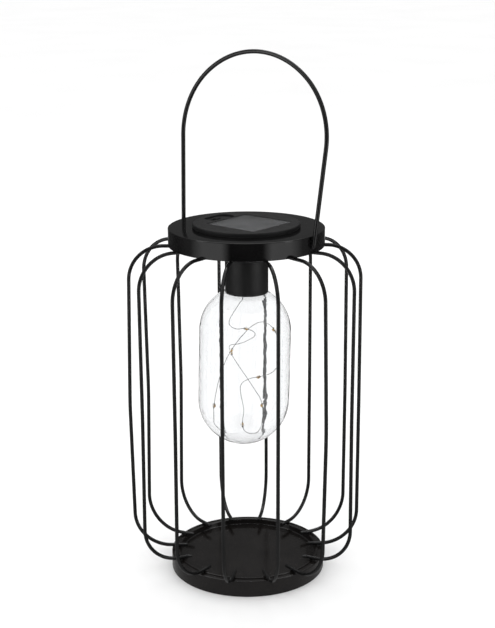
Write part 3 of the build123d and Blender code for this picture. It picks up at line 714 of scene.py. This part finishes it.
# ---------------------------------------------------------------- socket
def make_socket():
    plate = SPIGOT_RADIUS - 0.1
    inner = SLEEVE_RADIUS + 0.1
    outline = closed_profile(
        [(3.0, BASE_PLATE_LOW), (inner, BASE_PLATE_LOW), (inner, COLLAR_LOW),
         (COLLAR_RADIUS, COLLAR_LOW), (COLLAR_RADIUS, BASE_PLATE_LOW), (plate, BASE_PLATE_LOW),
         (plate, BASE_PLATE_TOP), (3.0, BASE_PLATE_TOP)],
        [0.2, 0.2, 0.3, 0.6, 0.8, 0.3, 0.1, 0.2], 15.0,
    )
    through = [(0, 0, BASE_PLATE_LOW - 1), (0, 0, BASE_PLATE_TOP + 1)]
    holes = [placed(tube(through, 1.3, 24, 0.01), BOSS_CIRCLE * cos(a), BOSS_CIRCLE * sin(a))
             for a in BOSS_ANGLES]
    base = link(cut(lathe(outline), holes), "collar_plate")
    show(base, SLEEVE_PLASTIC, "solar_module", "black_plastic", "module_base")
    bore = SLEEVE_RADIUS - SLEEVE_WALL
    sleeve = fair(
        [(2.5, 0, BASE_PLATE_LOW - SLEEVE_WALL), (bore, 0, BASE_PLATE_LOW - SLEEVE_WALL),
         (bore, 0, SLEEVE_LOW), (SLEEVE_RADIUS, 0, SLEEVE_LOW), (SLEEVE_RADIUS, 0, BASE_PLATE_LOW - 0.05),
         (2.5, 0, BASE_PLATE_LOW - 0.05)],
        [0.5, 0.4, 0.4, 0.3], 15.0,
    )
    show(link(lathe([(p.x, p.z) for p in sleeve]), "socket_shell"), SLEEVE_PLASTIC, "solar_module",
         "black_plastic", "socket_sleeve")


# ---------------------------------------------------------------- bulb
def lean(mesh):
    """Tips a plumb mesh over with the bulb, about its pivot height."""
    pivot = Matrix.Translation((0, 0, BULB_PIVOT))
    mesh.transform(pivot @ Matrix.Rotation(BULB_LEAN, 4, LEAN_AXIS) @ pivot.inverted())
    return mesh


def pill(inset, top, step):
    """The bulb's half outline from its foot to its neck's top, this far inside its outer face."""
    radius, neck, seat = BULB_RADIUS - inset, NECK_RADIUS - inset, SHOULDER - inset
    seat_angle = atan2(seat - BULB_HIGH, sqrt(radius**2 - (seat - BULB_HIGH) ** 2))
    points = []
    count = ceil(90 / step)
    for k in range(count + 1):
        a = -pi / 2 + k / count * pi / 2
        points.append((radius * cos(a), BULB_LOW + radius * sin(a)))
    rows = 14
    points += [(radius, BULB_LOW + (BULB_HIGH - BULB_LOW) * k / rows) for k in range(1, rows)]
    count = ceil(degrees(seat_angle) / step)
    for k in range(count + 1):
        a = k / count * seat_angle
        points.append((radius * cos(a), BULB_HIGH + radius * sin(a)))
    corner = fair([(points[-1][0], 0, seat), (neck, 0, seat), (neck, 0, seat + 8)], [1.0], 18)
    points += [(p.x, p.z) for p in corner[1:]]
    points += [(neck, height) for height in (seat + 14, top)]
    points[0] = (0, points[0][1])
    return points


def make_bulb():
    outer = pill(0, NECK_TOP, 4.0)
    inner = pill(GLASS, NECK_TOP, 4.0)
    mesh = lathe(outer + inner[::-1], False, 128)
    depth = 0.16
    for vertex in mesh.vertices:
        if hypot(vertex.co.x, vertex.co.y) < 1e-3:
            continue
        outward = Vector((vertex.co.x, vertex.co.y, 0)).normalized()
        wall = hypot(vertex.co.x, vertex.co.y)
        if wall > BULB_RADIUS - GLASS * 1.2 or wall < NECK_RADIUS:
            continue
        vertex.co += outward * depth * noise.noise(vertex.co * 0.16)
    show(link(lean(mesh), "bulb_shell", 50), BULB_CLEAR, "solar_module", "clear_glass", "bulb_glass")
    ring = closed_profile([(NECK_RADIUS + 0.05, 216.6), (13.45, 216.6), (13.45, 246.1), (2.0, 246.1),
                           (2.0, NECK_TOP + 0.02), (NECK_RADIUS + 0.05, NECK_TOP + 0.02)],
                          [0.2, 0.4, 0.5, 0.2, 0.2, 0.3])
    show(link(lean(lathe(ring, True, 96)), "neck_holder"), SLEEVE_PLASTIC, "solar_module",
         "black_plastic", "bulb_holder")
    plug = closed_profile([(1.0, 222.0), (11.45, 222.0), (11.45, 228.0), (1.0, 228.0)],
                          [0.2, 0.5, 0.5, 0.2])
    show(link(lean(lathe(plug, True, 96)), "neck_plug"), RUBBER, "solar_module", "black_rubber",
         "string_stopper")


# ---------------------------------------------------------------- fairy lights
def string_line():
    """Points of the smooth line through the bulb, read from the route's own spline."""
    curve = bpy.data.curves.new("string_route", "CURVE")
    curve.dimensions = "3D"
    curve.resolution_u = 10
    spline = curve.splines.new("NURBS")
    spline.points.add(len(STRING_ROUTE) - 1)
    for point, place in zip(spline.points, STRING_ROUTE):
        point.co = (*place, 1)
    spline.order_u = 3
    spline.use_endpoint_u = True
    route = bpy.data.objects.new("string_route", curve)
    bpy.context.scene.collection.objects.link(route)
    mesh = bpy.data.meshes.new_from_object(route)
    points = [v.co.copy() for v in mesh.vertices]
    bpy.data.objects.remove(route)
    bpy.data.meshes.remove(mesh)
    return points


def at_length(points, distance):
    """Place and direction this far along the line."""
    for a, b in zip(points, points[1:]):
        step = (b - a).length
        if distance <= step:
            return a.lerp(b, distance / step), (b - a).normalized()
        distance -= step
    return points[-1], (points[-1] - points[-2]).normalized()


def total_length(points):
    return sum((b - a).length for a, b in zip(points, points[1:]))


def make_string():
    line = string_line()
    length = total_length(line)
    strands = []
    step, twist, offset = 0.5, 5.0, 0.14
    count = int(length / step)
    samples = [at_length(line, k * step) for k in range(count + 1)]
    side = samples[0][1].orthogonal().normalized()
    frames = []
    for (point, direction), (_, before) in zip(samples, [samples[0], *samples]):
        side = before.rotation_difference(direction) @ side
        frames.append((point, direction, side.copy()))
    for strand in range(2):
        path = []
        for k, (point, direction, across) in enumerate(frames):
            a = 2 * pi * k * step / twist + strand * pi
            path.append(point + (across * cos(a) + direction.cross(across) * sin(a)) * offset)
        strands.append(tube(path, STRING_RADIUS - offset, 6, 0.03))
    wire = link(joined(strands), "fairy_wire", 60)
    show(wire, BRIGHT_WIRE, "solar_module", "silvered_wire", "string_wire")
    return line


def drop_outline(radius, length):
    """A resin drop's half outline: full in the middle, drawn out along the wire at both ends."""
    rows = 14
    points = []
    for k in range(rows + 1):
        share = k / rows
        bulge = sin(pi * share) ** 0.75
        points.append((max(radius * bulge, 0.0), (share - 0.5) * length))
    points[0], points[-1] = (0, -length / 2), (0, length / 2)
    return points


def make_beads(line):
    drops, chips = [], []
    for k in range(BEAD_COUNT):
        place, direction = at_length(line, BEAD_FIRST + k * BEAD_SPACING)
        turn = UP.rotation_difference(direction).to_matrix().to_4x4()
        turn = turn @ Matrix.Rotation(k * 1.9, 4, "Z")
        there = Matrix.Translation(place) @ turn
        drop = lathe(drop_outline(BEAD_RADIUS, BEAD_LENGTH + 1.2), False, 24)
        drop.transform(there)
        drops.append(drop)
        chip = slab((0.95, 0.75), 0.12, [(-0.85, 0.08), (-0.75, 0), (0.75, 0), (0.85, 0.08)])
        chip.transform(there @ Matrix.Translation((0.42, 0, 0)))
        chips.append(chip)
    show(link(joined(drops), "resin_drops", 60), BEAD_CLEAR, "solar_module", "bead_resin", "led_beads")
    chip_material = moulded("led_chip", (0.78, 0.46, 0.12), 0.4, 1.0e-5, 1500)
    lamps = link(joined(chips), "led_chips")
    lamps.data.materials.append(chip_material)
    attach(lamps, "solar_module")


# ---------------------------------------------------------------- pieces that keep their CAD shape
def board_material():
    """Green solder mask with copper tracks showing through it."""
    g = Graph("solder_mask", IOR=1.5, Roughness=0.35)
    tracks = g.add("ShaderNodeTexBrick")
    tracks.inputs["Scale"].default_value = 160
    g.wire(g.place, tracks.inputs["Vector"])
    track = g.remap(tracks.outputs["Fac"], 0.4, 0.6, 0.0, 1.0)
    g.set("Base Color", g.colours(track, (0.0, (0.012, 0.09, 0.035)), (1.0, (0.03, 0.17, 0.06))))
    g.bump((track, 3.0e-5))
    return g.material


def sleeve_material():
    """Printed shrink sleeve of the cell: green, with a plain silver band."""
    g = Graph("cell_sleeve", IOR=1.5)
    split = g.add("ShaderNodeSeparateXYZ")
    g.wire(g.place, split.inputs["Vector"])
    band = g.math("GREATER_THAN", split.outputs["X"], 0.012)
    wrinkle = g.noise(700, 3, 0.5)
    g.set("Base Color", g.colours(band, (0.0, (0.05, 0.2, 0.08)), (1.0, (0.55, 0.55, 0.55))))
    g.set("Roughness", g.remap(wrinkle, 0.3, 0.7, 0.25, 0.4))
    g.bump((wrinkle, 2.0e-5))
    return g.material


def dress_cad_nodes():
    """Procedural materials for the hidden pieces, which keep their CAD shape."""
    lead = moulded("lead_insulation", (0.35, 0.03, 0.025), 0.45, 1.5e-5, 1500)
    looks = {
        "panel_adhesive": moulded("adhesive_film", (0.6, 0.6, 0.56), 0.5, 2.0e-5, 1200),
        "panel_board": moulded("panel_laminate", (0.02, 0.022, 0.025), 0.4, 2.0e-5, 1200),
        "switch_body": PLATED,
        "housing_screws": PLATED,
        "battery": sleeve_material(),
        "battery_contacts": PLATED,
        "battery_spring": PLATED,
        "circuit_board": board_material(),
        "board_components": moulded("component_body", (0.02, 0.02, 0.02), 0.5, 2.0e-5, 1500),
        "panel_leads": lead,
        "battery_leads": lead,
        "led_leads": lead,
    }
    for node, material in looks.items():
        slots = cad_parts[node].material_slots
        for slot in slots:
            slot.material = material


# ---------------------------------------------------------------- floor, light and camera
VIEW_AZIMUTH = 36.9             # degrees, where the photographer stands
FLOOR_REACH = 14.0
STUDIO_FLOOR_NEAR = 0.27
STUDIO_FLOOR_BY_ANGLE = [
    (0.0, 0.0), (0.13, 0.01), (0.2, 1.1), (0.36, 1.0),
    (0.48, 0.16), (0.62, 0.04), (0.88, 0.05), (0.96, 0.9),
]


def flat_sheet(name, height):
    corners = [(x * FLOOR_REACH, y * FLOOR_REACH, height)
               for x, y in ((-1, -1), (1, -1), (1, 1), (-1, 1))]
    sheet = bpy.data.objects.new(name, mesh_of(corners, [[0, 1, 2, 3]]))
    bpy.context.scene.collection.objects.link(sheet)
    return sheet


def make_floor():
    """The pale floor that is seen, and the dim studio floor that shows in reflections only."""
    floor = flat_sheet("floor", -0.00005)
    g = Graph("floor_paper")
    tone = g.noise(3.0, 2, 0.5)
    g.set("Base Color", g.colours(tone, (0.3, (0.86, 0.86, 0.86)), (0.7, (0.88, 0.88, 0.88))))
    g.set("Roughness", g.remap(tone, 0.3, 0.7, 0.85, 0.95))
    floor.data.materials.append(g.material)
    floor.visible_glossy = False

    mirrored = flat_sheet("studio_floor", -0.0001)
    mirrored.data.materials.append(studio_floor_material())
    mirrored.visible_camera = False
    mirrored.visible_diffuse = False
    mirrored.visible_transmission = False
    mirrored.visible_shadow = False


def studio_floor_material():
    """Dark under the photographer, light beside, dark again at the sides and light far behind."""
    g = Graph("studio_floor")
    turned = g.add("ShaderNodeMapping")
    turned.inputs["Rotation"].default_value = (0, 0, radians(90 - VIEW_AZIMUTH))
    g.wire(g.place, turned.inputs["Vector"])
    split = g.add("ShaderNodeSeparateXYZ")
    g.wire(turned.outputs["Vector"], split.inputs["Vector"])
    angle = g.math("ABSOLUTE", g.math("ARCTAN2", split.outputs["Y"], split.outputs["X"]), 0)
    share = g.math("DIVIDE", angle, pi)
    far = g.colours(share, *[(at, (v, v, v)) for at, v in STUDIO_FLOOR_BY_ANGLE])
    distance = g.add("ShaderNodeVectorMath", operation="LENGTH")
    g.wire(g.place, distance.inputs[0])
    reach = g.remap(distance.outputs["Value"], 0.3, 0.75, 0.0, 1.0)
    mix = g.add("ShaderNodeMix", data_type="RGBA")
    mix.inputs["A"].default_value = (*[STUDIO_FLOOR_NEAR] * 3, 1)
    g.wire(reach, mix.inputs["Factor"])
    g.wire(far, mix.inputs["B"])
    glow = g.add("ShaderNodeEmission")
    g.wire(next(s for s in mix.outputs if s.type == "RGBA"), glow.inputs["Color"])
    g.wire(glow.outputs["Emission"], g.tree.nodes["Material Output"].inputs["Surface"])
    return g.material


def soft_light(name, azimuth, elevation, distance, size, power):
    """An area light that faces the lantern's middle and isn't seen itself."""
    lamp = bpy.data.lights.new(name, "AREA")
    lamp.shape = "RECTANGLE"
    lamp.size, lamp.size_y = size
    lamp.energy = power
    obj = bpy.data.objects.new(name, lamp)
    bpy.context.scene.collection.objects.link(obj)
    a, e = radians(azimuth), radians(elevation)
    offset = Vector((sin(a) * cos(e), -cos(a) * cos(e), sin(e))) * distance
    obj.location = Vector((0, 0, 0.16)) + offset
    obj.rotation_euler = offset.to_track_quat("Z", "Y").to_euler()
    obj.visible_camera = False
    obj.visible_transmission = False
    return obj


BACKDROP = 1.2                  # strength of the white that surrounds the lantern


def make_world():
    """White all round, but for reflections a dim studio with a brighter ceiling."""
    world = bpy.data.worlds.new("studio")
    bpy.context.scene.world = world
    world.use_nodes = True
    tree = world.node_tree
    nodes = tree.nodes
    output = nodes["World Output"]
    seen = nodes["Background"]
    seen.inputs["Color"].default_value = (1, 1, 1, 1)
    seen.inputs["Strength"].default_value = BACKDROP
    studio = nodes.new("ShaderNodeBackground")
    direction = nodes.new("ShaderNodeTexCoord")
    split = nodes.new("ShaderNodeSeparateXYZ")
    ramp = nodes.new("ShaderNodeValToRGB")
    stops = [(0.0, 0.07), (0.25, 0.085), (0.45, 0.12), (0.75, 0.5), (1.0, 0.8)]
    elements = ramp.color_ramp.elements
    while len(elements) < len(stops):
        elements.new(0.5)
    for element, (position, value) in zip(elements, stops):
        element.position = position
        element.color = (value, value, value, 1)
    rays = nodes.new("ShaderNodeLightPath")
    through = nodes.new("ShaderNodeMath")
    through.operation = "SUBTRACT"
    through.use_clamp = True
    mix = nodes.new("ShaderNodeMixShader")
    for source, target in (
        (direction.outputs["Generated"], split.inputs["Vector"]),
        (split.outputs["Z"], ramp.inputs["Fac"]),
        (ramp.outputs["Color"], studio.inputs["Color"]),
        (rays.outputs["Is Glossy Ray"], through.inputs[0]),
        (rays.outputs["Is Transmission Ray"], through.inputs[1]),
        (through.outputs["Value"], mix.inputs["Fac"]),
        (seen.outputs["Background"], mix.inputs[1]),
        (studio.outputs["Background"], mix.inputs[2]),
        (mix.outputs["Shader"], output.inputs["Surface"]),
    ):
        tree.links.new(source, target)


# the camera's place, tilt and lens are the output of a fitting script
CAMERA_DISTANCE, CAMERA_HEIGHT = 0.962719, 0.464995
CAMERA_PITCH, CAMERA_PAN, CAMERA_ROLL = radians(15.503), radians(0.032), radians(-0.239)
CAMERA_LENS = 36.0 * 1368.08 / 628


def make_camera():
    data = bpy.data.cameras.new("camera")
    data.lens = CAMERA_LENS
    data.sensor_width = 36.0
    data.clip_end = 60
    camera = bpy.data.objects.new("camera", data)
    bpy.context.scene.collection.objects.link(camera)
    forward = Vector((sin(CAMERA_PAN) * cos(CAMERA_PITCH), cos(CAMERA_PAN) * cos(CAMERA_PITCH),
                      -sin(CAMERA_PITCH)))
    right = Vector((cos(CAMERA_PAN), -sin(CAMERA_PAN), 0))
    up = right.cross(forward)
    across = right * cos(CAMERA_ROLL) + up * sin(CAMERA_ROLL)
    upward = up * cos(CAMERA_ROLL) - right * sin(CAMERA_ROLL)
    facing = Matrix((across, upward, -forward)).transposed().to_4x4()
    stand = Matrix.Translation((0, -CAMERA_DISTANCE, CAMERA_HEIGHT)) @ facing
    camera.matrix_world = Matrix.Rotation(radians(VIEW_AZIMUTH), 4, "Z") @ stand
    bpy.context.scene.camera = camera


# ---------------------------------------------------------------- the scene
make_camera()
make_floor()
make_world()
soft_light("left_window", VIEW_AZIMUTH - 70, 20, 1.5, (0.35, 1.3), 2.6)
soft_light("right_window", VIEW_AZIMUTH + 62, 18, 1.6, (0.35, 1.3), 2.8)
soft_light("top_panel", VIEW_AZIMUTH + 175, 58, 1.6, (1.2, 0.7), 4.0)
make_cap()
make_tray()
make_cage()
make_welds()
make_handle()
make_housing()
make_panel()
make_knob()
make_socket()
make_bulb()
make_beads(make_string())
dress_cad_nodes()

bpy.context.scene.view_settings.view_transform = "Standard"
